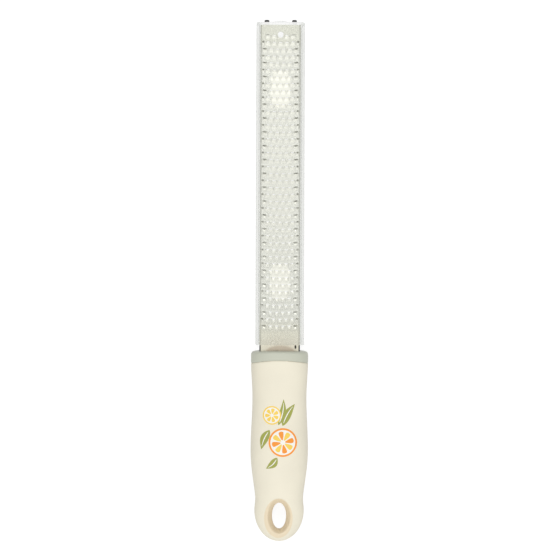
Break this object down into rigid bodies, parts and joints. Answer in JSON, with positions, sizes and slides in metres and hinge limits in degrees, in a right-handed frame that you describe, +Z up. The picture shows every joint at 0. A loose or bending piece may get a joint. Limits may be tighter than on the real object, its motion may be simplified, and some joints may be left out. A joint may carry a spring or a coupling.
{
  "type": "rasp zester",
  "caption": "Rasp zester with a long toothed steel blade in a soft moulded handle with a hanging hole, and a clear cover that slides on over the tip.",
  "frame": {"origin": "on the table under the middle of the tool as it lies on its back with the cover on: the bottom centre of its bounding box", "axes": "+Y along the blade towards its tip, +Z up out of the teeth, +X to the right seen from the teeth with the tip up"},
  "size_m": [0.0361, 0.3286, 0.0264],
  "materials": {
    "blade_steel": "satin stainless sheet",
    "cover_clear": "clear moulded plastic",
    "collar_plastic": "satin hard plastic, pale grey green",
    "core_plastic": "moulded hard plastic",
    "grip_soft": "soft cream overmould",
    "foot_rubber": "black rubber"
  },
  "bodies": {
    "handle": {"grip": "grip_soft", "collar": "collar_plastic", "core_front": "core_plastic", "core_back": "core_plastic", "blade": "blade_steel", "foot_left": "foot_rubber", "foot_right": "foot_rubber"},
    "cover": {"cover": "cover_clear"}
  },
  "joints": [
    {"name": "cover_slide", "type": "slide", "parent": "handle", "child": "cover", "axis": [0, 1, 0], "range_m": [0, 0.21]}
  ]
}
